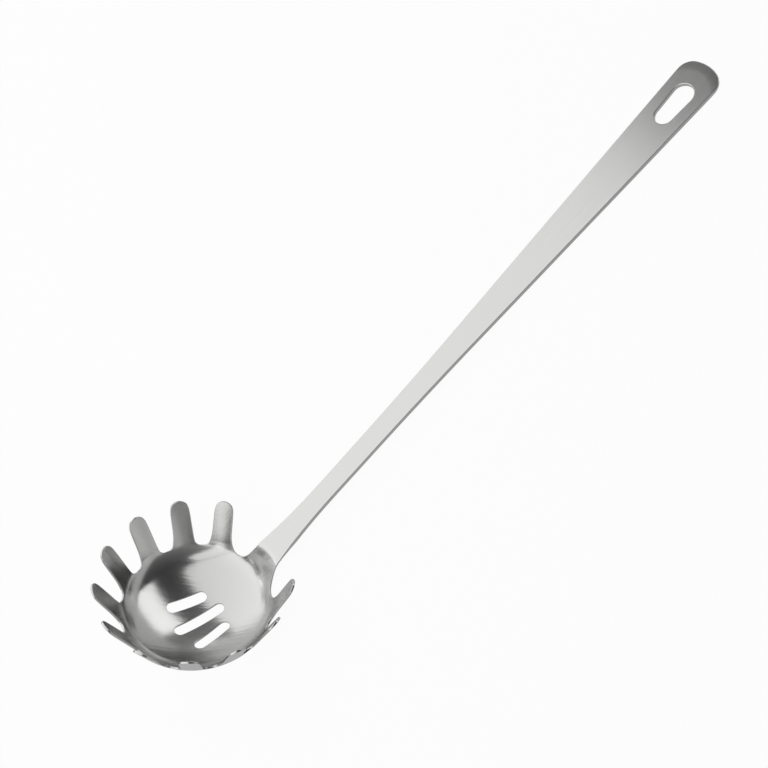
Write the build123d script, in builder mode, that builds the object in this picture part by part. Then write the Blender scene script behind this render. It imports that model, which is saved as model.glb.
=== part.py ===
from build123d import *
import os
from math import asin, atan2, cos, degrees, hypot, radians, sin, sqrt, tan

# Pasta server in brushed stainless steel, two pieces welded face to face at the neck:
# a pressed bowl with a comb of round-ended teeth and three drain slots, and a flat bar handle.
# Lengths are in millimetres and angles in degrees.
# While it is modelled, the bowl stands upright: its axis is Z, its inner floor touches the
# origin, and the handle climbs towards +X. At the end the part is laid down as it rests on a table.

# Bowl, measured on its inner face: a shallow floor arc, a tighter side arc and a straight wall
floor_radius = 55.4
floor_angle = 28.4
side_radius = 16.8
wall_angle = 64.0
bowl_sheet = 1.0

# Teeth: straight sides that taper a little, full round ends, round-cornered notches between.
# The notches reach this far inwards past the start of the straight wall, and the tips of the
# teeth stand this much further from the axis than the feet of the notches.
tine_count = 11
notch_inset = 1.26
tine_reach = 9.8
handle_gap_angle = 80.0
tine_root_width = 8.8
tine_tip_width = 8.4
# Roundness of a notch's bottom: 1 would leave no flat between its two corner rounds
notch_round_share = 0.83

# Drain slots: a long one on the axis and a shorter one each side, leaning in towards the handle
slot_width = 5.0
middle_slot_length = 24.4
outer_slot_length = 18.4
slot_pitch = 10.6
slot_lean = 9.5
slot_shift = 0.3

# Neck: the wall runs up into a tongue that bends over into the line of the handle, at a crease
# that stands this much further from the axis than the feet of the notches
crease_reach = 3.9
side_gap_drop = 1.2
side_gap_round_share = 0.95
tongue_foot_width = 20.8
neck_width = 14.3
neck_bend_radius = 4.0
neck_land = 1.0

# Handle: flat bar, measured along its upper face from the crease of the neck
handle_slope = 35.3
handle_length = 282.0
handle_thickness = 2.2
thickening_length = 14.0
flare_middle_length = 21.0
flare_middle_width = 10.4
waist_length = 58.0
waist_width = 9.6
taper_start_length = 122.0
taper_start_width = 11.5
end_width = 22.0
end_arc_radius = 18.0
end_corner_radius = 7.0

# Hang hole: a slot with round ends that widens towards the end of the handle
hole_end_margin = 11.3
hole_far_radius = 5.1
hole_near_radius = 4.4
hole_centre_distance = 11.2

# How far cuts run past what they cut
overrun = 5.0

# Inner meridian of the bowl, as (radius, height) points
floor_turn = radians(floor_angle)
wall_turn = radians(wall_angle)
floor_end_r = floor_radius * sin(floor_turn)
floor_end_z = floor_radius * (1 - cos(floor_turn))
side_centre_r = floor_end_r - side_radius * sin(floor_turn)
side_centre_z = floor_end_z + side_radius * cos(floor_turn)
side_end_r = side_centre_r + side_radius * sin(wall_turn)
side_end_z = side_centre_z - side_radius * cos(wall_turn)

# How far the feet of the notches, the tips of the teeth and the crease stand from the axis
notch_radius = side_end_r - notch_inset
tip_radius = notch_radius + tine_reach
crease_radius = notch_radius + crease_reach


def wall_height(radius):
    # Height of the inner face where the side arc or the straight wall reaches this radius
    if radius > side_end_r:
        return side_end_z + (radius - side_end_r) * tan(wall_turn)
    return side_centre_z - sqrt(side_radius**2 - (radius - side_centre_r) ** 2)


tip_z = wall_height(tip_radius)
notch_z = wall_height(notch_radius)
crease_z = wall_height(crease_radius)

# Line of the handle, from the crease upwards, and its upper face as a plane
slope_turn = radians(handle_slope)
handle_plane = Plane(
    origin=(crease_radius, 0, crease_z),
    x_dir=(cos(slope_turn), 0, sin(slope_turn)),
    z_dir=(-sin(slope_turn), 0, cos(slope_turn)),
)
bend_turn = wall_turn - slope_turn
seam_length = bowl_sheet / sin(bend_turn) + neck_land

# Angles round the bowl, from the handle
tine_pitch = (360 - handle_gap_angle) / (tine_count - 1)
tine_angles = [handle_gap_angle / 2 + tine_pitch * index for index in range(tine_count)]
notch_angles = [angle + tine_pitch / 2 for angle in tine_angles[:-1]]


def wall_plane(angle):
    # Plane on the wall at the foot of the notches: X runs round the bowl, Y up the wall, Z out
    turn = radians(angle)
    return Plane(
        origin=(notch_radius * cos(turn), notch_radius * sin(turn), notch_z),
        x_dir=(-sin(turn), cos(turn), 0),
        z_dir=(sin(wall_turn) * cos(turn), sin(wall_turn) * sin(turn), -cos(wall_turn)),
    )


def gap_edge(radius, tine_width, angle_off):
    # Sideways distance from the middle of a gap to the flank of a tooth that stands angle_off away
    turn = radians(angle_off)
    return radius * sin(turn) - tine_width / 2 * cos(turn)


# Height of the tips above the notch feet, measured up the wall
tip_rise = (tip_radius - notch_radius) * cos(wall_turn) + (tip_z - notch_z) * sin(wall_turn)
cut_rise = tip_rise + overrun
rise_share = cut_rise / tip_rise


def flank(angle_off):
    # Foot and top point of a tooth's flank, as seen from the middle of the gap beside it
    foot = gap_edge(notch_radius, tine_root_width, angle_off)
    tip = gap_edge(tip_radius, tine_tip_width, angle_off)
    return (foot, 0), (foot + (tip - foot) * rise_share, cut_rise)


# Gap between the neck tongue and the first tooth: its middle, and where the tongue's side meets
# the crease, found as the point of the conical wall that lies in the handle's upper face
tongue_foot_angle = degrees(asin(tongue_foot_width / 2 / notch_radius))
first_flank_angle = tine_angles[0] - degrees(asin(tine_root_width / 2 / notch_radius))
side_gap_angle = (tongue_foot_angle + first_flank_angle) / 2
slope_share = tan(slope_turn) / tan(wall_turn)
crease_a = 1 - slope_share**2
crease_b = slope_share * (1 - slope_share) * crease_radius
crease_c = (neck_width / 2) ** 2 - ((1 - slope_share) * crease_radius) ** 2
crease_corner_x = (crease_b + sqrt(crease_b**2 - crease_a * crease_c)) / crease_a
crease_corner = Vector(
    crease_corner_x,
    neck_width / 2,
    crease_z + (crease_corner_x - crease_radius) * tan(slope_turn),
)


def side_gap_points(side):
    # Corners of the gap beside the tongue, on the wall plane; side is 1 on +Y and -1 on -Y
    corner = Vector(crease_corner.X, side * crease_corner.Y, crease_corner.Z)
    local = wall_plane(side * side_gap_angle).to_local_coords(corner)
    foot = -side * notch_radius * sin(radians(side_gap_angle - tongue_foot_angle))
    slant = (local.X - foot) / (local.Y + side_gap_drop)
    (tooth_foot, _), (tooth_top, _) = flank(tine_angles[0] - side_gap_angle)
    return [
        (foot, -side_gap_drop),
        (foot + slant * (cut_rise + side_gap_drop), cut_rise),
        (side * tooth_top, cut_rise),
        (side * tooth_foot, -side_gap_drop),
    ]


def bottom_radius(points, round_share):
    # Corner radius for the bottom of a notch, given as foot, top, top and foot
    (foot_a, low), (top_a, high), (top_b, _), (foot_b, _) = points
    lean_a = abs(top_a - foot_a) / (high - low)
    lean_b = abs(top_b - foot_b) / (high - low)
    grip = hypot(1, lean_a) - lean_a + hypot(1, lean_b) - lean_b
    return round_share * abs(foot_b - foot_a) / grip


# Plane of the bowl's half section, on the side away from the handle, so that no seam is at the neck
section_plane = Plane(origin=(0, 0, 0), x_dir=(-1, 0, 0), z_dir=(0, 1, 0))


def side_section(depth):
    # Half section of the side and the wall, this deep under the inner face, in the active sketch
    start = (
        (floor_radius + depth) * sin(floor_turn),
        floor_radius - (floor_radius + depth) * cos(floor_turn),
    )
    heading = (cos(floor_turn), sin(floor_turn))
    side_line = JernArc(start, heading, side_radius + depth, wall_angle - floor_angle)
    wall_line = PolarLine(side_line @ 1, tip_rise, direction=side_line % 1)
    return side_line @ 0, wall_line @ 1


# Solid that fills the inside of the bowl above its floor, up to past the tips
with BuildPart() as cavity:
    with BuildSketch(section_plane):
        with BuildLine():
            side_low, wall_top = side_section(0)
            Polyline(wall_top, (0, wall_top.Y), (0, side_low.Y), side_low)
        make_face()
    revolve(axis=Axis.Z)

# Floor of the bowl: a cap between two spheres, out to where the side arc takes over.
# The spheres lie on their sides, so that no pole falls on the floor.
with BuildPart() as floor_cap:
    with Locations(Location((0, 0, floor_radius), (90, 0, 0))):
        Sphere(floor_radius + bowl_sheet)
        Sphere(floor_radius, mode=Mode.SUBTRACT)
    with BuildSketch(section_plane):
        cone_depth = bowl_sheet + overrun
        cone_radius = (floor_radius + cone_depth) * tan(floor_turn)
        Polygon((0, floor_radius), (cone_radius, -cone_depth), (0, -cone_depth), align=None)
    revolve(axis=Axis.Z, mode=Mode.INTERSECT)

# Outline of the handle seen square to its upper face, with the tongue that runs down into the bowl
with BuildSketch() as planform:
    with BuildLine():
        root = Line((-neck_width, neck_width / 2), (neck_land, neck_width / 2))
        flare = Spline(
            root @ 1,
            (flare_middle_length, flare_middle_width / 2),
            (waist_length, waist_width / 2),
            tangents=[(neck_width, flare_middle_width / 2 - neck_width / 2), (1, 0)],
        )
        swell = TangentArc(flare @ 1, (taper_start_length, taper_start_width / 2), tangent=flare % 1)
        taper = Line(swell @ 1, (handle_length, end_width / 2))
        Polyline(taper @ 1, (handle_length, 0), (-neck_width, 0), root @ 0)
    make_face()
    mirror(about=Plane.XZ)
    with BuildSketch(mode=Mode.INTERSECT):
        with Locations((handle_length - end_arc_radius, 0)):
            Circle(end_arc_radius)
        with Locations((handle_length - end_arc_radius, 0)):
            Rectangle(2 * handle_length, end_width, align=(Align.MAX, Align.CENTER))
    fillet(planform.vertices().group_by(Axis.X)[-1], end_corner_radius)

# Flat end of the tongue, up to the weld
with BuildPart() as tongue:
    with BuildSketch(handle_plane):
        add(planform.sketch)
        Rectangle(2 * seam_length, neck_width, mode=Mode.INTERSECT)
    extrude(amount=-bowl_sheet)
    add(cavity.part, mode=Mode.SUBTRACT)

with BuildPart() as bowl:
    # Pressed sheet
    with BuildSketch(section_plane):
        with BuildLine():
            inner_low, inner_top = side_section(0)
            outer_low, outer_top = side_section(bowl_sheet)
            Line(inner_top, outer_top)
            Line(outer_low, inner_low)
        make_face()
    revolve(axis=Axis.Z)
    add(floor_cap.part)
    # Drain slots
    with BuildSketch(Plane.XY.offset(-overrun)):
        with Locations((slot_shift, 0)):
            SlotOverall(middle_slot_length, slot_width)
        for side in (1, -1):
            with Locations((slot_shift, side * slot_pitch)):
                SlotOverall(outer_slot_length, slot_width, rotation=-side * slot_lean)
    extrude(amount=2 * overrun, mode=Mode.SUBTRACT)
    # Notches between the teeth
    foot, top = flank(tine_pitch / 2)
    notch_points = [foot, top, (-top[0], top[1]), (-foot[0], foot[1])]
    for angle in notch_angles:
        with BuildSketch(wall_plane(angle)) as notch:
            Polygon(*notch_points, align=None)
            bottom = notch.vertices().group_by(Axis.Y)[0]
            fillet(bottom, bottom_radius(notch_points, notch_round_share))
        extrude(amount=overrun, both=True, mode=Mode.SUBTRACT)
    # Wider gaps beside the tongue
    for side in (1, -1):
        gap_points = side_gap_points(side)
        with BuildSketch(wall_plane(side * side_gap_angle)) as side_gap:
            Polygon(*gap_points, align=None)
            bottom = side_gap.vertices().group_by(Axis.Y)[0]
            fillet(bottom, bottom_radius(gap_points, side_gap_round_share))
        extrude(amount=overrun, both=True, mode=Mode.SUBTRACT)
    # Round tips
    with BuildSketch(*[wall_plane(angle) for angle in tine_angles]):
        with Locations((0, tip_rise - tine_tip_width / 2)):
            Rectangle(2 * tine_tip_width, tine_tip_width + overrun, align=(Align.CENTER, Align.MIN))
            Circle(tine_tip_width / 2, mode=Mode.SUBTRACT)
    extrude(amount=overrun, both=True, mode=Mode.SUBTRACT)
    # The wall ends at the crease, where the flat end of the tongue takes over
    with BuildSketch(handle_plane):
        with Locations((-neck_width, 0)):
            Rectangle(
                neck_width + cut_rise, 2 * neck_width, align=(Align.MIN, Align.CENTER)
            )
    extrude(amount=cut_rise, mode=Mode.SUBTRACT)
    add(tongue.part)
    # Bend of the neck, of even thickness
    inside = bowl.edges().sort_by_distance(handle_plane.origin)[0]
    fillet(inside, neck_bend_radius)
    outside_crease = handle_plane.from_local_coords((bowl_sheet * tan(bend_turn / 2), 0, -bowl_sheet))
    fillet(bowl.edges().sort_by_distance(outside_crease)[0], neck_bend_radius - bowl_sheet)

# Flat bar of the handle, from the weld to its round end
with BuildPart() as handle:
    with BuildSketch(handle_plane):
        add(planform.sketch)
        with Locations((seam_length, 0)):
            Rectangle(handle_length, end_width, align=(Align.MIN, Align.CENTER), mode=Mode.INTERSECT)
    extrude(amount=-handle_thickness)
    # The bar starts as thin as the sheet of the bowl and thickens underneath
    side_plane = Plane(origin=handle_plane.origin, x_dir=handle_plane.x_dir, z_dir=(0, -1, 0))
    with BuildSketch(side_plane):
        with BuildLine():
            Polyline(
                (seam_length, -bowl_sheet),
                (thickening_length, -handle_thickness),
                (thickening_length, -handle_thickness - overrun),
                (seam_length - overrun, -handle_thickness - overrun),
                (seam_length - overrun, -bowl_sheet),
                close=True,
            )
        make_face()
    extrude(amount=neck_width, both=True, mode=Mode.SUBTRACT)
    # Hang hole
    far_centre = handle_length - hole_end_margin - hole_far_radius
    with BuildSketch(handle_plane):
        with Locations((far_centre, 0)):
            Circle(hole_far_radius)
        with Locations((far_centre - hole_centre_distance, 0)):
            Circle(hole_near_radius)
        make_hull()
    extrude(amount=-overrun, mode=Mode.SUBTRACT)

for name, piece in (("bowl", bowl.part), ("handle", handle.part)):
    print(name, piece.is_valid, len(piece.solids()), round(piece.volume, 1), piece.bounding_box())

# Lay the part down: it rests on the side of the bowl and on the lower edge of the handle's end
end_point = handle_plane.from_local_coords((handle_length, 0, -handle_thickness))
reach_x = end_point.X - side_centre_r
reach_z = end_point.Z - side_centre_z
rest_turn = atan2(reach_z, reach_x) + asin((side_radius + bowl_sheet) / hypot(reach_x, reach_z))
lay_down = Location((0, 0, 0), (0, degrees(rest_turn), 0))
laid = Compound([bowl.part.moved(lay_down), handle.part.moved(lay_down)]).bounding_box()
to_rest = Location((-laid.center().X, -laid.center().Y, -laid.min.Z)) * lay_down
print("rest", degrees(rest_turn), laid)

os.makedirs("parts", exist_ok=True)
for name, piece in (("bowl", bowl.part), ("handle", handle.part)):
    solid = piece.moved(to_rest)
    solid.label = name
    export_step(solid, f"parts/{name}.step")
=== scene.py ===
import bpy
import math
import numpy as np
from mathutils import Matrix, Vector
from mathutils.geometry import delaunay_2d_cdt


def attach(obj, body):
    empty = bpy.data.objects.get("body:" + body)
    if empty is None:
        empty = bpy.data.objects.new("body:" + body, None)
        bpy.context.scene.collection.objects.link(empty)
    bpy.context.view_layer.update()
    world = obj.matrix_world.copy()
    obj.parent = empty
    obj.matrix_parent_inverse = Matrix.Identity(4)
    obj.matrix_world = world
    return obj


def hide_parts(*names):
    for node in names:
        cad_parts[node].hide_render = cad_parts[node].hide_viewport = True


# Pasta server: a pressed bowl with a comb of teeth, and a flat bar handle welded to its neck.
# Both are drawn while the bowl stands upright, in millimetres, then laid on the floor like the CAD.

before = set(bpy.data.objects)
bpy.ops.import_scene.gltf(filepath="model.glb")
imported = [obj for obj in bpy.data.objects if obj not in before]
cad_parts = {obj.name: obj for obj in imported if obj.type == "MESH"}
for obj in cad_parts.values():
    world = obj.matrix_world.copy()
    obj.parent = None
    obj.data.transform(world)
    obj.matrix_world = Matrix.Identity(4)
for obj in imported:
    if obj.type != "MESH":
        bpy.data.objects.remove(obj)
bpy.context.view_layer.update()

bowlSizes = {
    "floorRadius": 55.4, "floorAngle": 28.4,    # shallow floor arc of the section
    "sideRadius": 16.8, "wallAngle": 64.0,      # tighter side arc, then a straight wall
    "sheet": 1.0,
    "tipRadius": 41.999, "notchRadius": 32.199,    # from the axis to the tips and to the notch feet
    "teeth": 11, "handleGap": 80.0,
    "toothFoot": 8.8, "toothTip": 8.4,
    "notchRound": 0.83,                         # 1 leaves no flat between a notch's two rounds
    "slotWidth": 5.0, "slotLength": 24.4, "sideSlotLength": 18.4,
    "slotPitch": 10.6, "slotLean": 9.5, "slotShift": 0.3,
    "tongueFoot": 20.8,                         # sets how far round the bowl the bend may reach
    # edge of the neck tongue in plan, from just above the crease down round the gap beside it
    "neckEdge": [(38.0, 7.0), (36.4, 7.1), (34.9, 7.45), (33.4, 8.1), (31.9, 9.0), (30.6, 10.15),
                 (29.55, 11.5), (28.8, 13.0), (28.35, 14.6), (28.2, 16.1), (28.6, 17.6)],
    "creaseRadius": 36.099, "creaseBlend": 3.2,  # blend is the height that the bend rounds off
    "edgeRound": 0.28,
    "grid": 1.0, "gridSlack": 0.45,             # spacing of inner points, and their gap to the rim
    "bendFrom": 31.0, "bendHalf": 11.0, "bendGrid": (0.22, 0.55),    # closer points at the bend
}

handleSizes = {
    "slope": 35.3, "length": 282.0, "thickness": 2.2,
    "seam": 3.083, "thickeningEnd": 14.0,
    "neckWidth": 14.3, "neckLand": 1.0,
    "flareAt": 21.0, "flareWidth": 10.4,
    "waistAt": 58.0, "waistWidth": 9.6,
    "taperAt": 122.0, "taperWidth": 11.5,
    "endWidth": 22.0, "endArc": 18.0, "endCorner": 7.0,
    "holeMargin": 11.3, "holeFar": 5.1, "holeNear": 4.4, "holeSpan": 11.2,
    "edgeRound": 0.4,
    "endDrop": 0.5, "endDropReach": 5.0,       # the end's upper face is ground down a little
    "grid": 2.5, "endGrid": 0.7, "gridHalf": 12.0, "gridSlack": 0.5,
}

# mm between the points of an outline
outlineSteps = {
    "round": 0.3, "tip": 0.35, "corner": 0.4, "end": 0.5, "cut": 0.6, "flank": 0.7, "longRun": 2.0,
}
smoothing = {"reach": 7, "rounds": 25}      # points to each side of a joint, and passes over them
leastRound = 0.004                          # mm, kept on sharp edges so that no face has no area
edgeRows = 4                                # rows of points over each rounded edge

layDown = {"turn": 36.02888, "shift": (-151.30194, 0.0, 11.25522)}   # degrees about Y, then mm

floorTurn = math.radians(bowlSizes["floorAngle"])
wallTurn = math.radians(bowlSizes["wallAngle"])
slopeTurn = math.radians(handleSizes["slope"])
floorEndR = bowlSizes["floorRadius"] * math.sin(floorTurn)
floorEndZ = bowlSizes["floorRadius"] * (1 - math.cos(floorTurn))
sideMidR = floorEndR - bowlSizes["sideRadius"] * math.sin(floorTurn)
sideMidZ = floorEndZ + bowlSizes["sideRadius"] * math.cos(floorTurn)
wallStartR = sideMidR + bowlSizes["sideRadius"] * math.sin(wallTurn)
wallStartZ = sideMidZ - bowlSizes["sideRadius"] * math.cos(wallTurn)


def sectionHeight(r):
    # height of the bowl's inner face at a distance r from its axis
    floorRadius, sideRadius = bowlSizes["floorRadius"], bowlSizes["sideRadius"]
    onFloor = floorRadius - np.sqrt(np.maximum(floorRadius**2 - r**2, 0))
    onSide = sideMidZ - np.sqrt(np.maximum(sideRadius**2 - (r - sideMidR) ** 2, 0))
    onWall = wallStartZ + (r - wallStartR) * math.tan(wallTurn)
    return np.where(r < floorEndR, onFloor, np.where(r < wallStartR, onSide, onWall))


def sectionLength(r):
    # length along the section from the axis, used only to lay the surface out flat
    onFloor = bowlSizes["floorRadius"] * np.arcsin(np.clip(r / bowlSizes["floorRadius"], 0, 1))
    reach = np.clip((r - sideMidR) / bowlSizes["sideRadius"], -1, 1)
    floorLength = bowlSizes["floorRadius"] * floorTurn
    onSide = floorLength + bowlSizes["sideRadius"] * (np.arcsin(reach) - floorTurn)
    sideEnd = floorLength + bowlSizes["sideRadius"] * (wallTurn - floorTurn)
    onWall = sideEnd + (r - wallStartR) / math.cos(wallTurn)
    return np.where(r < floorEndR, onFloor, np.where(r < wallStartR, onSide, onWall))


tipZ = float(sectionHeight(np.float64(bowlSizes["tipRadius"])))
notchZ = float(sectionHeight(np.float64(bowlSizes["notchRadius"])))
creaseZ = float(sectionHeight(np.float64(bowlSizes["creaseRadius"])))
tipRise = (
    (bowlSizes["tipRadius"] - bowlSizes["notchRadius"]) * math.cos(wallTurn)
    + (tipZ - notchZ) * math.sin(wallTurn)
)
pitch = (360 - bowlSizes["handleGap"]) / (bowlSizes["teeth"] - 1)
firstTooth = bowlSizes["handleGap"] / 2
gapAngle = (
    math.degrees(math.asin(bowlSizes["tongueFoot"] / 2 / bowlSizes["notchRadius"]))
    + firstTooth - math.degrees(math.asin(bowlSizes["toothFoot"] / 2 / bowlSizes["notchRadius"]))
) / 2


def faceHeight(x, y):
    # inner face of the bowl, which bends over at the crease into the upper face of the handle
    wall = sectionHeight(np.hypot(x, y))
    bar = creaseZ + (x - bowlSizes["creaseRadius"]) * math.tan(slopeTurn)
    blend = bowlSizes["creaseBlend"]
    share = np.clip(blend - np.abs(wall - bar), 0, None) / blend
    neck = np.minimum(wall, bar) - share**2 * blend / 4
    onNeck = (x > floorEndR) & (np.abs(y) < x * math.tan(math.radians(gapAngle)))
    return np.where(onNeck, neck, wall)


def bowlFace(flat):
    # points and normals of the inner face over an array of (x, y)
    x, y = flat[:, 0], flat[:, 1]
    step = 0.004
    slopeX = (faceHeight(x + step, y) - faceHeight(x - step, y)) / (2 * step)
    slopeY = (faceHeight(x, y + step) - faceHeight(x, y - step)) / (2 * step)
    normals = np.stack([-slopeX, -slopeY, np.ones_like(x)], axis=1)
    normals /= np.linalg.norm(normals, axis=1)[:, None]
    return np.stack([x, y, faceHeight(x, y)], axis=1), normals


def onWall(angle, across, rise):
    # plan position of a point drawn on the wall's tangent plane at an angle round the bowl
    turn = math.radians(angle)
    across, rise = np.asarray(across, float), np.asarray(rise, float)
    foot = np.array([bowlSizes["notchRadius"], 0, notchZ])
    up = np.array([math.cos(wallTurn), 0, math.sin(wallTurn)])
    out = np.array([math.sin(wallTurn), 0, -math.cos(wallTurn)])
    points = foot + rise[:, None] * up + across[:, None] * np.array([0, 1, 0])
    for _ in range(12):                         # slide each point square to the plane onto the face
        miss = points[:, 2] - sectionHeight(np.hypot(points[:, 0], points[:, 1]))
        points = points + miss[:, None] * out * 0.44
    x = points[:, 0] * math.cos(turn) - points[:, 1] * math.sin(turn)
    y = points[:, 0] * math.sin(turn) + points[:, 1] * math.cos(turn)
    return np.stack([x, y], axis=1)


def line(start, end, spacing):
    # evenly spaced points from start up to, but without, the end
    start, end = np.asarray(start, float), np.asarray(end, float)
    count = max(2, int(round(np.linalg.norm(end - start) / spacing)))
    return start + (end - start) * (np.arange(count) / count)[:, None]


def arc(centre, radius, fromTurn, toTurn, spacing):
    count = max(4, int(round(abs(toTurn - fromTurn) * radius / spacing)))
    turns = fromTurn + (toTurn - fromTurn) * np.arange(count) / count
    x, y = centre[0] + radius * np.cos(turns), centre[1] + radius * np.sin(turns)
    return np.stack([x, y], axis=1)


def gapEdge(radius, width, angleOff):
    turn = math.radians(angleOff)
    return radius * math.sin(turn) - width / 2 * math.cos(turn)


def flank(angleOff):
    # foot and tip of a tooth's side, seen from the middle of the gap next to it
    foot = gapEdge(bowlSizes["notchRadius"], bowlSizes["toothFoot"], angleOff)
    tip = gapEdge(bowlSizes["tipRadius"], bowlSizes["toothTip"], angleOff)
    return foot, (tip - foot) / tipRise


def notchBottom(footA, leanA, footB, leanB, low, share, topA, topB):
    # from the top of side A down, round the bottom of the notch and up side B
    spacing, straight = outlineSteps["round"], outlineSteps["cut"]
    turnA, turnB = math.atan2(1, -leanA), math.atan2(1, leanB)
    gripA, gripB = math.tan((math.pi - turnA) / 2), math.tan(turnB / 2)
    radius = share * (footB - footA) / (gripA + gripB)
    sideA = np.array([leanA, 1]) / math.hypot(leanA, 1)
    sideB = np.array([leanB, 1]) / math.hypot(leanB, 1)
    startA = np.array([footA, low]) + sideA * radius * gripA
    endB = np.array([footB, low]) + sideB * radius * gripB
    centreA = (footA + radius * gripA, low + radius)
    centreB = (footB - radius * gripB, low + radius)
    return np.concatenate([
        line((footA + leanA * (topA - low), topA), startA, straight),
        arc(centreA, radius, -math.pi / 2 - math.atan2(1, abs(leanA)), -math.pi / 2, spacing),
        line((centreA[0], low), (centreB[0], low), spacing),
        arc(centreB, radius, -math.pi / 2, -math.pi / 2 + math.atan2(1, abs(leanB)), spacing),
        line(endB, (footB + leanB * (topB - low), topB), straight),
    ])


def clampedSpline(points, startTangent, endTangent, count):
    # smooth curve through three points, with a given direction at each end
    points = np.asarray(points, float)
    a, b = np.linalg.norm(np.diff(points, axis=0), axis=1)
    startTangent = np.asarray(startTangent) / np.linalg.norm(startTangent)
    endTangent = np.asarray(endTangent) / np.linalg.norm(endTangent)
    middle = (
        3 * ((points[1] - points[0]) * b / a + (points[2] - points[1]) * a / b)
        - b * startTangent - a * endTangent
    ) / (2 * (a + b))
    runs = []
    for p, q, u, v, span in ((points[0], points[1], startTangent, middle, a),
                             (points[1], points[2], middle, endTangent, b)):
        t = (np.arange(count) / count)[:, None]
        runs.append((2 * t**3 - 3 * t**2 + 1) * p + (t**3 - 2 * t**2 + t) * span * u
                    + (3 * t**2 - 2 * t**3) * q + (t**3 - t**2) * span * v)
    return np.concatenate(runs)


def throughPoints(points, spacing):
    # smooth open curve through all the points
    points = np.asarray(points, float)
    padded = np.concatenate([[2 * points[0] - points[1]], points, [2 * points[-1] - points[-2]]])
    runs = []
    for p, q, r, t in zip(padded, padded[1:], padded[2:], padded[3:]):
        count = max(2, int(round(np.linalg.norm(r - q) / spacing)))
        u = (np.arange(count) / count)[:, None]
        runs.append(((2 * q) + (r - p) * u + (2 * p - 5 * q + 4 * r - t) * u**2
                     + (3 * q - p - 3 * r + t) * u**3) / 2)
    return np.concatenate(runs + [points[-1:]])


def handleSide():
    # one side of the handle's outline from the crease to the end: distance along, half width
    bar = handleSizes
    neck, flare, waist = bar["neckWidth"] / 2, bar["flareWidth"] / 2, bar["waistWidth"] / 2
    rootPoints = [(bar["neckLand"], neck), (bar["flareAt"], flare), (bar["waistAt"], waist)]
    rootRun = clampedSpline(rootPoints, (bar["neckWidth"], flare - neck), (1, 0), 60)
    land = line((0, neck), (bar["neckLand"], neck), outlineSteps["round"])
    rootRun = np.concatenate([land, rootRun])
    span, lift = bar["taperAt"] - bar["waistAt"], (bar["taperWidth"] - bar["waistWidth"]) / 2
    swellRadius = (span**2 + lift**2) / (2 * lift)
    swellTurn = math.asin(span / swellRadius)
    swell = arc((bar["waistAt"], waist + swellRadius), swellRadius,
                -math.pi / 2, -math.pi / 2 + swellTurn, outlineSteps["longRun"])
    # rounded corner between the side and the shallow end arc
    side = np.array([bar["length"] - bar["taperAt"], bar["endWidth"] / 2 - bar["taperWidth"] / 2])
    sideDir = side / np.linalg.norm(side)
    sideOut = np.array([-sideDir[1], sideDir[0]])
    taperStart = np.array([bar["taperAt"], bar["taperWidth"] / 2])
    endMid = np.array([bar["length"] - bar["endArc"], 0])
    base = taperStart - sideOut * bar["endCorner"] - endMid
    cornerReach = bar["endArc"] - bar["endCorner"]
    along = -base @ sideDir + math.sqrt((base @ sideDir) ** 2 - base @ base + cornerReach**2)
    corner = taperStart - sideOut * bar["endCorner"] + sideDir * along
    fromTurn = math.atan2(sideOut[1], sideOut[0])
    toTurn = math.atan2(corner[1] - endMid[1], corner[0] - endMid[0])
    taper = line(taperStart, corner + sideOut * bar["endCorner"], outlineSteps["longRun"])
    rounded = arc(corner, bar["endCorner"], fromTurn, toTurn, outlineSteps["corner"])
    endArc = arc(endMid, bar["endArc"], toTurn, 0, outlineSteps["end"])
    return np.concatenate([rootRun, swell, taper, rounded, endArc])


def smoothJoints(points, joints, reach, rounds):
    # eases the corners where two runs of the outline meet
    for joint in joints:
        start, end = max(joint - reach, 1), min(joint + reach, len(points) - 1)
        for _ in range(rounds):
            middle = (points[start - 1:end - 1] + points[start + 1:end + 1]) / 2
            points[start:end] = (points[start:end] + middle) / 2
    return points


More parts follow.
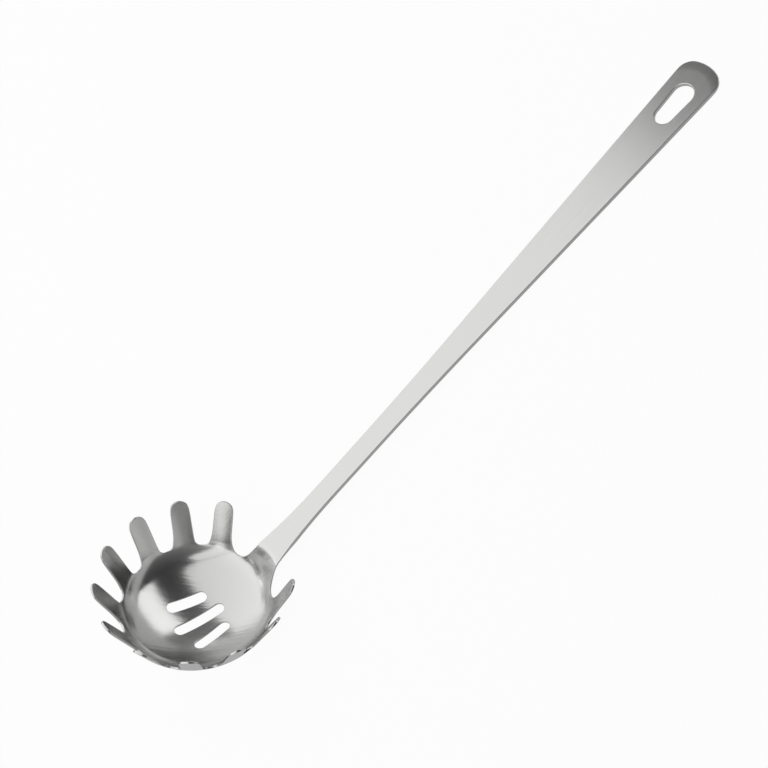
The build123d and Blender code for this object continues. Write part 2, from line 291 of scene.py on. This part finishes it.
def bowlOutline():
    # half of the bowl's rim, from the middle of the weld round to the tooth opposite the handle
    bowl, bar = bowlSizes, handleSizes
    side = handleSide()
    onTongue = side[side[:, 0] < bar["seam"]]
    seamHalf = float(np.interp(bar["seam"], side[:40, 0], side[:40, 1]))
    tongueLine = np.concatenate([[[bar["seam"], seamHalf]], onTongue[::-1]])
    tongueX = bowl["creaseRadius"] + tongueLine[:, 0] * math.cos(slopeTurn)
    tongue = np.stack([tongueX, tongueLine[:, 1]], axis=1)
    edge = throughPoints(bowl["neckEdge"], outlineSteps["round"])
    tongue = tongue[tongue[:, 0] > edge[0, 0] + outlineSteps["round"]]
    # up the wall: where the neck's edge ends, and where the sides of the notches do
    sideFrom, toothTop = 2.6, 5.0
    foot, lean = flank(pitch / 2)
    rises = np.arange(sideFrom, toothTop, outlineSteps["end"])
    firstSide = onWall(firstTooth - pitch / 2, foot + lean * rises, rises)
    rim = np.concatenate([tongue, edge, firstSide])
    runs = [rim]
    tipRound = bowl["toothTip"] / 2
    tipMid = tipRise - tipRound
    rises = np.arange(toothTop, tipMid, outlineSteps["flank"])
    halfWidths = (bowl["toothFoot"] + (bowl["toothTip"] - bowl["toothFoot"]) * rises / tipRise) / 2
    for index in range(bowl["teeth"] // 2 + 1):
        angle = firstTooth + pitch * index
        up = onWall(angle, -halfWidths, rises)
        tipEnd = math.pi / 2 if index == bowl["teeth"] // 2 else 0
        tip = arc((0, tipMid), tipRound, math.pi, tipEnd, outlineSteps["tip"])
        runs += [up, onWall(angle, tip[:, 0], tip[:, 1])]
        if index < bowl["teeth"] // 2:
            down = onWall(angle, halfWidths[::-1], rises[::-1])
            notch = notchBottom(-foot, -lean, foot, lean, 0, bowl["notchRound"], toothTop, toothTop)
            runs += [down, onWall(angle + pitch / 2, notch[:, 0], notch[:, 1])[1:]]
    runs.append(onWall(180, [0], [tipRise]))
    rim = np.concatenate(runs)
    joints = np.cumsum([len(run) for run in runs])[:-1]
    joints = [len(tongue), len(tongue) + len(edge), *joints[:-1]]
    return smoothJoints(rim, joints, smoothing["reach"], smoothing["rounds"]), seamHalf


def slotLoop(length, width, centre, lean):
    # clockwise, so that the steel lies on its left
    half, reach = width / 2, (length - width) / 2
    loop = np.concatenate([
        arc((reach, 0), half, math.pi / 2, -math.pi / 2, outlineSteps["round"]),
        line((reach, -half), (-reach, -half), outlineSteps["cut"]),
        arc((-reach, 0), half, -math.pi / 2, -3 * math.pi / 2, outlineSteps["round"]),
        line((-reach, half), (reach, half), outlineSteps["cut"]),
    ])
    turn = math.radians(lean)
    spin = np.array([[math.cos(turn), -math.sin(turn)], [math.sin(turn), math.cos(turn)]])
    return loop @ spin.T + centre


def insideLoop(points, loop):
    x, y = points[:, 0], points[:, 1]
    inside = np.zeros(len(points), bool)
    for (ax, ay), (bx, by) in zip(loop, np.roll(loop, -1, axis=0)):
        crosses = (ay > y) != (by > y)
        if crosses.any():
            inside ^= crosses & (x < ax + (bx - ax) * (y - ay) / ((by - ay) or 1e-12))
    return inside


def plateMesh(loops, face, flatten, insetPlan, depthAt, edgeRound, softEdge, grid, slack):
    # A plate of even or changing thickness over a face: loops are its rim and holes in plan, face
    # gives points and normals, flatten gives a plan for the triangles, insetPlan moves a loop in by
    # the rounding of its edge, and softEdge says how far each rim point is rounded, from 0 to 1.
    rims = []
    for loop, soft in zip(loops, softEdge):
        points, normals = face(loop)
        ahead = np.roll(points, -1, axis=0) - np.roll(points, 1, axis=0)
        ahead /= np.linalg.norm(ahead, axis=1)[:, None]
        inward = np.cross(normals, ahead)
        inward /= np.linalg.norm(inward, axis=1)[:, None]
        rims.append((points, normals, inward, edgeRound * soft + leastRound))
    innerPlans = [
        insetPlan(loop, points, inward, ease)
        for loop, (points, _, inward, ease) in zip(loops, rims)
    ]
    seeds, edges, start = [], [], 0
    for plan in innerPlans:
        count = len(plan)
        seeds.append(plan)
        edges += [(start + k, start + (k + 1) % count) for k in range(count)]
        start += count
    boundary = np.concatenate([flatten(plan) for plan in innerPlans])
    gridFlat = flatten(grid)
    keep = insideLoop(grid, loops[0])
    for hole in loops[1:]:
        keep &= ~insideLoop(grid, hole)
    near = np.full(len(grid), np.inf)
    for k in range(0, len(boundary), 64):
        gapTo = np.linalg.norm(gridFlat[:, None] - boundary[None, k:k + 64], axis=2).min(axis=1)
        near = np.minimum(near, gapTo)
    grid = grid[keep & (near > slack)]
    plans = np.concatenate(seeds + [grid])
    flat = [Vector(p) for p in flatten(plans)]
    _, _, tris, origVerts, _, _ = delaunay_2d_cdt(flat, edges, [], 0, 1e-7)
    order = [ids[0] for ids in origVerts]
    corners = np.array([[order[k] for k in tri] for tri in tris])
    centres = plans[corners].mean(axis=1)
    keep = insideLoop(centres, innerPlans[0])
    for plan in innerPlans[1:]:
        keep &= ~insideLoop(centres, plan)
    corners = corners[keep]
    first, second, third = plans[corners[:, 0]], plans[corners[:, 1]], plans[corners[:, 2]]
    toSecond, toThird = second - first, third - first
    area = toSecond[:, 0] * toThird[:, 1] - toSecond[:, 1] * toThird[:, 0]
    corners[area < 0] = corners[area < 0][:, ::-1]
    top, topNormals = face(plans)
    depth, depthSlope = depthAt(plans)
    bottom = top - topNormals * depth[:, None]
    bottomNormals = -(topNormals + depthSlope)
    bottomNormals /= np.linalg.norm(bottomNormals, axis=1)[:, None]
    total = len(plans)
    points, normals = [top, bottom], [topNormals, bottomNormals]
    faces = [tuple(c) for c in corners] + [tuple(c[::-1] + total) for c in corners]
    nextId, start = 2 * total, 0
    for loop, (rimPoints, rimNormals, inward, ease) in zip(loops, rims):
        count = len(loop)
        rimDepth = depthAt(loop)[0]
        rows = [np.arange(start, start + count)]
        quarter = [math.pi / 2 * k / edgeRows for k in range(1, edgeRows + 1)]
        steps = [(turn, False) for turn in quarter] + [(turn, True) for turn in quarter[::-1]]
        for turn, under in steps:
            sink = ease * (1 - math.cos(turn))
            sink = rimDepth - sink if under else sink
            inset = ease * (1 - math.sin(turn))
            points.append(rimPoints + inward * inset[:, None] - rimNormals * sink[:, None])
            facing = rimNormals * math.cos(turn) * (-1 if under else 1) - inward * math.sin(turn)
            normals.append(facing)
            rows.append(np.arange(nextId, nextId + count))
            nextId += count
        rows.append(np.arange(start, start + count) + total)
        for upper, lower in zip(rows[:-1], rows[1:]):
            for k in range(count):
                m = (k + 1) % count
                faces.append((upper[k], lower[k], lower[m], upper[m]))
        start += count
    return np.concatenate(points), np.concatenate(normals), faces


def insetBowl(loop, points, inward, ease):
    # the bowl's plan is its view from above, so the inset points are dropped onto it
    return (points + inward * ease[:, None])[:, :2]


def insetBar(loop, points, inward, ease):
    # the handle's plan is its flat outline, so the loop moves sideways in that plan
    ahead = np.roll(loop, -1, axis=0) - np.roll(loop, 1, axis=0)
    ahead /= np.linalg.norm(ahead, axis=1)[:, None]
    left = np.stack([-ahead[:, 1], ahead[:, 0]], axis=1)
    return loop + left * ease[:, None]


def crossGrid(fromX, toX, half, stepX, stepY):
    # even grid over a band of the plan, as rows of (x, y)
    across = np.arange(-half, half + 0.1, stepY)
    return np.stack(np.meshgrid(np.arange(fromX, toX, stepX), across), axis=-1).reshape(-1, 2)


turnDown = np.array(Matrix.Rotation(math.radians(layDown["turn"]), 3, "Y"))


def toFloor(points):
    return (points @ turnDown.T + np.array(layDown["shift"])) * 0.001


def makePiece(name, points, normals, faces, material):
    mesh = bpy.data.meshes.new(name)
    mesh.from_pydata(toFloor(points).tolist(), [], faces)
    mesh.polygons.foreach_set("use_smooth", [True] * len(mesh.polygons))
    mesh.normals_split_custom_set_from_vertices((normals @ turnDown.T).tolist())
    mesh.update()
    piece = bpy.data.objects.new(name, mesh)
    bpy.context.scene.collection.objects.link(piece)
    mesh.materials.append(material)
    return piece


def hexColour(code):
    # sRGB hex to linear
    parts = [int(code[k:k + 2], 16) / 255 for k in (0, 2, 4)]
    return [c / 12.92 if c <= 0.04045 else ((c + 0.055) / 1.055) ** 2.4 for c in parts] + [1.0]


def addNode(tree, kind, settings=None, inputs=None):
    node = tree.nodes.new(kind)
    for key, value in (settings or {}).items():
        setattr(node, key, value)
    for key, value in (inputs or {}).items():
        if isinstance(value, bpy.types.NodeSocket):
            tree.links.new(value, node.inputs[key])
        else:
            node.inputs[key].default_value = value
    return node


brushedSteel = {
    "colour": "cfcfce",
    "bowlRoughness": 0.17, "handleRoughness": 0.25, "roughnessSpread": 0.05,
    "lineSpacing": 0.9,        # mm; coarser than the real lines, which are too fine to show
    "lineLength": 40.0,        # mm
    "bowlLineTurn": -36.0,     # degrees; the bowl was brushed slantwise, the bar lengthwise
    "lineDepth": 0.04,
    "unevenSize": 14.0,        # mm; hand polishing leaves the sheet very slightly wavy
    "unevenDepth": 0.07,
}


def makeBrushedSteel(name, roughness, lineTurn, unevenDepth):
    # Stainless steel, belt brushed along the tool: neutral grey with soft streaked reflections
    finish = brushedSteel
    material = bpy.data.materials.new(name)
    material.use_nodes = True
    tree = material.node_tree
    tree.nodes.clear()
    place = addNode(tree, "ShaderNodeTexCoord")
    laid = Matrix.Rotation(math.radians(layDown["turn"]), 3, "Y")
    brushed = laid @ Matrix.Rotation(math.radians(lineTurn), 3, "Z")
    longWay = finish["lineLength"] * 0.001
    along = addNode(tree, "ShaderNodeMapping", {"vector_type": "TEXTURE"}, {
        "Vector": place.outputs["Object"],
        "Rotation": brushed.to_euler(),
        "Scale": (longWay, finish["lineSpacing"] * 0.001, longWay),
    })
    lines = addNode(tree, "ShaderNodeTexNoise", None, {
        "Vector": along.outputs["Vector"], "Scale": 1.0, "Detail": 3.0, "Roughness": 0.6})
    uneven = addNode(tree, "ShaderNodeTexNoise", None, {
        "Vector": place.outputs["Object"], "Scale": 1000 / finish["unevenSize"], "Detail": 1.0})
    rough = addNode(tree, "ShaderNodeMapRange", None, {
        "Value": lines.outputs["Fac"], "To Min": roughness - finish["roughnessSpread"],
        "To Max": roughness + finish["roughnessSpread"]})
    lineBump = addNode(tree, "ShaderNodeBump", None, {
        "Height": lines.outputs["Fac"], "Distance": finish["lineDepth"] * 0.001, "Strength": 1.0})
    unevenBump = addNode(tree, "ShaderNodeBump", None, {
        "Height": uneven.outputs["Fac"], "Distance": unevenDepth * 0.001, "Strength": 1.0,
        "Normal": lineBump.outputs["Normal"]})
    steel = addNode(tree, "ShaderNodeBsdfPrincipled", None, {
        "Base Color": hexColour(finish["colour"]), "Metallic": 1.0,
        "Roughness": rough.outputs["Result"], "Normal": unevenBump.outputs["Normal"]})
    addNode(tree, "ShaderNodeOutputMaterial", None, {"Surface": steel.outputs["BSDF"]})
    return material


# Camera: where the photograph was taken from, worked out from the outline of the bowl and handle
cameraPlace = {
    "focal": 1484.128, "picture": 768,    # pixels
    "sensor": 36,                         # mm
    "clip": (0.01, 20),                   # metres
    "position": (-163.703, -347.159, 535.493),
    "right": (0.80714, -0.59018, 0.01443),
    "down": (-0.41463, -0.58411, -0.69778),
    "forward": (0.42025, 0.55722, -0.71617),
}


def makeCamera():
    shot = cameraPlace
    data = bpy.data.cameras.new("photoCamera")
    data.sensor_width = shot["sensor"]
    data.lens = shot["sensor"] * shot["focal"] / shot["picture"]
    data.clip_start, data.clip_end = shot["clip"]
    camera = bpy.data.objects.new("photoCamera", data)
    bpy.context.scene.collection.objects.link(camera)
    up, back = [-v for v in shot["down"]], [-v for v in shot["forward"]]
    axes = np.array([shot["right"], up, back]) @ turnDown.T
    place = Matrix([[*axes[:, k], 0] for k in range(3)] + [[0, 0, 0, 1]])
    place.translation = toFloor(np.array(shot["position"]))
    camera.matrix_world = place
    bpy.context.scene.camera = camera


makeCamera()
print("camera placed")

bowlSteel = makeBrushedSteel("brushedStainlessBowl", brushedSteel["bowlRoughness"],
                             brushedSteel["bowlLineTurn"], brushedSteel["unevenDepth"])
handleSteel = makeBrushedSteel("brushedStainlessHandle", brushedSteel["handleRoughness"], 0.0, 0.0)

# Bowl
half, seamHalf = bowlOutline()
bowl = bowlSizes
seamX = bowl["creaseRadius"] + handleSizes["seam"] * math.cos(slopeTurn)
seamLine = line((seamX, 0), (seamX, seamHalf), outlineSteps["end"])
halfLoop = np.concatenate([seamLine, half])
rimLoop = np.concatenate([halfLoop, (halfLoop[1:-1] * [1, -1])[::-1]])
slots = [slotLoop(bowl["slotLength"], bowl["slotWidth"], (bowl["slotShift"], 0), 0)]
for side in (1, -1):
    centre = (bowl["slotShift"], side * bowl["slotPitch"])
    lean = -side * bowl["slotLean"]
    slots.append(slotLoop(bowl["sideSlotLength"], bowl["slotWidth"], centre, lean))
ringGrid = []
radii = np.linspace(0, 46, 2400)       # rings of points, out to past the tips of the teeth
for ring, reach in enumerate(np.arange(bowl["grid"], 60, bowl["grid"])):
    r = np.interp(reach, sectionLength(radii), radii)
    count = int(round(2 * math.pi * reach / (bowl["grid"] * 1.1)))
    turns = (np.arange(count) + 0.5 * (ring % 2)) * 2 * math.pi / count
    ringGrid.append(np.stack([r * np.cos(turns), r * np.sin(turns)], axis=1))
ringGrid = np.concatenate(ringGrid)
atBend = (ringGrid[:, 0] > bowl["bendFrom"]) & (np.abs(ringGrid[:, 1]) < bowl["bendHalf"])
ringGrid = ringGrid[~atBend]
bendGrid = crossGrid(bowl["bendFrom"], seamX, bowl["bendHalf"], *bowl["bendGrid"])
bowlGrid = np.concatenate([ringGrid, bendGrid])


def flattenBowl(plan):
    r = np.maximum(np.hypot(plan[:, 0], plan[:, 1]), 1e-9)
    return plan * (sectionLength(r) / r)[:, None]


softRim = np.where(np.abs(rimLoop[:, 0] - seamX) < 1e-6, 0.0, 1.0)
points, normals, faces = plateMesh(
    [rimLoop] + slots, bowlFace, flattenBowl, insetBowl,
    lambda plan: (np.full(len(plan), bowl["sheet"]), 0.0),
    bowl["edgeRound"], [softRim] + [np.ones(len(s)) for s in slots], bowlGrid, bowl["gridSlack"])
bowlPiece = makePiece("bowlShell", points, normals, faces, bowlSteel)
print("bowl made", len(faces), "faces")

# Handle
bar = handleSizes
side = handleSide()
side = np.concatenate([[[bar["seam"], seamHalf]], side[side[:, 0] > bar["seam"] + 0.05]])
side = np.concatenate([line((bar["seam"], 0), side[0], outlineSteps["end"]), side])
barLoop = np.concatenate([side * [1, -1], [[bar["length"], 0]], side[1:][::-1]])
farMid = bar["length"] - bar["holeMargin"] - bar["holeFar"]
nearMid = farMid - bar["holeSpan"]
holeTurn = math.acos((bar["holeFar"] - bar["holeNear"]) / bar["holeSpan"])


def holeTouch(mid, radius, side):
    # where a straight side of the hang hole meets one of its rounds
    return mid + radius * math.cos(holeTurn), side * radius * math.sin(holeTurn)


holeLoop = np.concatenate([
    arc((farMid, 0), bar["holeFar"], holeTurn, -holeTurn, outlineSteps["round"]),
    line(holeTouch(farMid, bar["holeFar"], -1), holeTouch(nearMid, bar["holeNear"], -1),
         outlineSteps["cut"]),
    arc((nearMid, 0), bar["holeNear"], -holeTurn, holeTurn - 2 * math.pi, outlineSteps["round"]),
    line(holeTouch(nearMid, bar["holeNear"], 1), holeTouch(farMid, bar["holeFar"], 1),
         outlineSteps["cut"]),
])
alongBar = np.array([math.cos(slopeTurn), 0, math.sin(slopeTurn)])
acrossBar = np.array([0, 1, 0])
offBar = np.array([-math.sin(slopeTurn), 0, math.cos(slopeTurn)])


def endRollOff(plan):
    # how far the upper face drops near the end, and its slope as a vector
    across = plan - np.array([bar["length"] - bar["endArc"], 0])
    reach = np.hypot(across[:, 0], across[:, 1])
    share = np.clip((reach - bar["endArc"]) / bar["endDropReach"] + 1, 0, 1)
    share = np.where(across[:, 0] > 0, share, 0)
    steepness = 2 * bar["endDrop"] * share / bar["endDropReach"] / np.maximum(reach, 1)
    slope = steepness[:, None] * across
    return bar["endDrop"] * share**2, slope[:, :1] * alongBar + slope[:, 1:] * acrossBar


def barFace(plan):
    drop, slope = endRollOff(plan)
    crease = np.array([bowl["creaseRadius"], 0, creaseZ])
    points = crease + plan[:, :1] * alongBar + plan[:, 1:] * acrossBar
    normals = offBar + slope
    return points - drop[:, None] * offBar, normals / np.linalg.norm(normals, axis=1)[:, None]


def barDepth(plan):
    # as thin as the bowl's sheet at the weld, then it thickens underneath
    share = np.clip((plan[:, 0] - bar["seam"]) / (bar["thickeningEnd"] - bar["seam"]), 0, 1)
    thicker = bar["thickness"] - bowl["sheet"]
    rise = thicker / (bar["thickeningEnd"] - bar["seam"])
    slope = np.where((share > 0) & (share < 1), rise, 0.0)
    drop, dropSlope = endRollOff(plan)
    return bowl["sheet"] + share * thicker - drop, slope[:, None] * alongBar - dropSlope


fineFrom = bar["length"] - bar["endArc"] - 1      # the rolled off end needs closer points
barGrid = np.concatenate([
    crossGrid(bar["seam"], fineFrom, bar["gridHalf"], bar["grid"], bar["grid"]),
    crossGrid(fineFrom, bar["length"], bar["gridHalf"], bar["endGrid"], bar["endGrid"]),
])
softBar = np.where(np.abs(barLoop[:, 0] - bar["seam"]) < 1e-6, 0.0, 1.0)
points, normals, faces = plateMesh(
    [barLoop, holeLoop], barFace, lambda plan: plan, insetBar, barDepth,
    bar["edgeRound"], [softBar, np.ones(len(holeLoop))], barGrid, bar["gridSlack"])
handlePiece = makePiece("handleBar", points, normals, faces, handleSteel)
print("handle made", len(faces), "faces")

for piece, node, slot in (
    (bowlPiece, "bowl", "bowl_steel"),
    (handlePiece, "handle", "handle_steel"),
):
    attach(piece, "root")
    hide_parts(node)

# Floor: white paper, kept even for the camera and dimmer where the steel mirrors it
floorSizes = {"reach": 60.0, "colour": "e8e8e8", "white": 0.95, "mirrored": 0.5}
bpy.ops.mesh.primitive_plane_add(size=floorSizes["reach"], location=(0, 0, 0))
floor = bpy.context.object
floor.name = "studioFloor"
floorPaint = bpy.data.materials.new("matteWhitePaper")
floorPaint.use_nodes = True
tree = floorPaint.node_tree
tree.nodes.clear()
paper = addNode(tree, "ShaderNodeBsdfDiffuse", None, {"Color": hexColour(floorSizes["colour"])})
path = addNode(tree, "ShaderNodeLightPath")
mirrored = addNode(tree, "ShaderNodeMath", {"operation": "MAXIMUM"}, {
    0: path.outputs["Is Glossy Ray"], 1: path.outputs["Is Transmission Ray"]})
direct = addNode(tree, "ShaderNodeMath", {"operation": "MAXIMUM"}, {
    0: path.outputs["Is Camera Ray"], 1: mirrored.outputs[0]})
amount = addNode(tree, "ShaderNodeMath", {"operation": "MULTIPLY"}, {
    0: direct.outputs[0], 1: floorSizes["white"]})
strength = addNode(tree, "ShaderNodeMapRange", None, {
    "Value": path.outputs["Is Camera Ray"], "To Min": floorSizes["mirrored"], "To Max": 1.0})
glow = addNode(tree, "ShaderNodeEmission", None, {
    "Color": (1, 1, 1, 1), "Strength": strength.outputs["Result"]})
seen = addNode(tree, "ShaderNodeMixShader", None, {
    0: amount.outputs[0], 1: paper.outputs[0], 2: glow.outputs[0]})
addNode(tree, "ShaderNodeOutputMaterial", None, {"Surface": seen.outputs[0]})
floor.data.materials.append(floorPaint)

# Studio light: a stepped soft box overhead whose edge shows in the bowl and towards the handle's
# end, pale panels round the back and the left, a low window on the right and a dim room
softBoxes = {
    "overhead": {
        "centre": (-0.105, 0.64, 0.46), "size": (0.71, 1.52),
        "aim": (-0.105, 0.64, 0), "turn": -3, "level": 0.87,
    },
    "overheadFront": {
        "centre": (-0.225, -0.215, 0.46), "size": (0.52, 0.18),
        "aim": (-0.225, -0.215, 0), "turn": -3, "level": 0.87,
    },
    "backPanel": {
        "centre": (0.10, 1.45, 0.25), "size": (1.5, 0.42),
        "aim": (-0.05, 0, 0.25), "turn": 0, "level": 0.95,
    },
    "backLeftPanel": {
        "centre": (-0.893, 0.477, 0.43), "size": (1.04, 0.84),
        "aim": (-0.13, 0, 0.43), "turn": 0, "level": 0.58,
    },
    "leftPanel": {
        "centre": (-0.87, -0.48, 0.64), "size": (1.04, 0.68),
        "aim": (-0.13, 0, 0.64), "turn": 0, "level": 0.76,
    },
    "lowWindow": {
        "centre": (0.76, 0.14, 0.235), "size": (0.80, 0.37),
        "aim": (-0.11, 0, 0.02), "turn": 0, "level": 1.25,
    },
}
for name, box in softBoxes.items():
    lamp = bpy.data.lights.new(name, "AREA")
    lamp.shape = "RECTANGLE"
    lamp.size, lamp.size_y = box["size"]
    lamp.energy = box["level"] * math.pi * box["size"][0] * box["size"][1]
    holder = bpy.data.objects.new(name, lamp)
    bpy.context.scene.collection.objects.link(holder)
    away = Vector(box["centre"]) - Vector(box["aim"])
    spin = Matrix.Rotation(math.radians(box["turn"]), 4, "Z")
    towards = away.to_track_quat("Z", "Y").to_matrix().to_4x4()
    holder.matrix_world = Matrix.Translation(box["centre"]) @ towards @ spin
    holder.visible_camera = False

roomLight = {"plain": 0.36, "dark": 0.05, "darkSide": (0.814, -0.296, 0.5)}
world = bpy.data.worlds.new("studioRoom")
bpy.context.scene.world = world
world.use_nodes = True
tree = world.node_tree
tree.nodes.clear()
facing = addNode(tree, "ShaderNodeTexCoord")
toDark = addNode(tree, "ShaderNodeVectorMath", {"operation": "DOT_PRODUCT"}, {
    0: facing.outputs["Generated"], 1: roomLight["darkSide"]})
level = addNode(tree, "ShaderNodeMapRange", None, {
    "Value": toDark.outputs["Value"], "From Min": 0.0, "From Max": 1.0,
    "To Min": roomLight["plain"], "To Max": roomLight["dark"]})
roomPath = addNode(tree, "ShaderNodeLightPath")
seenLevel = addNode(tree, "ShaderNodeMapRange", None, {
    "Value": roomPath.outputs["Is Camera Ray"], "To Min": level.outputs["Result"], "To Max": 1.0})
room = addNode(tree, "ShaderNodeBackground", None, {
    "Color": hexColour("ffffff"), "Strength": seenLevel.outputs["Result"]})
addNode(tree, "ShaderNodeOutputWorld", None, {"Surface": room.outputs[0]})
print("studio set")

bpy.context.scene.view_settings.view_transform = "Standard"
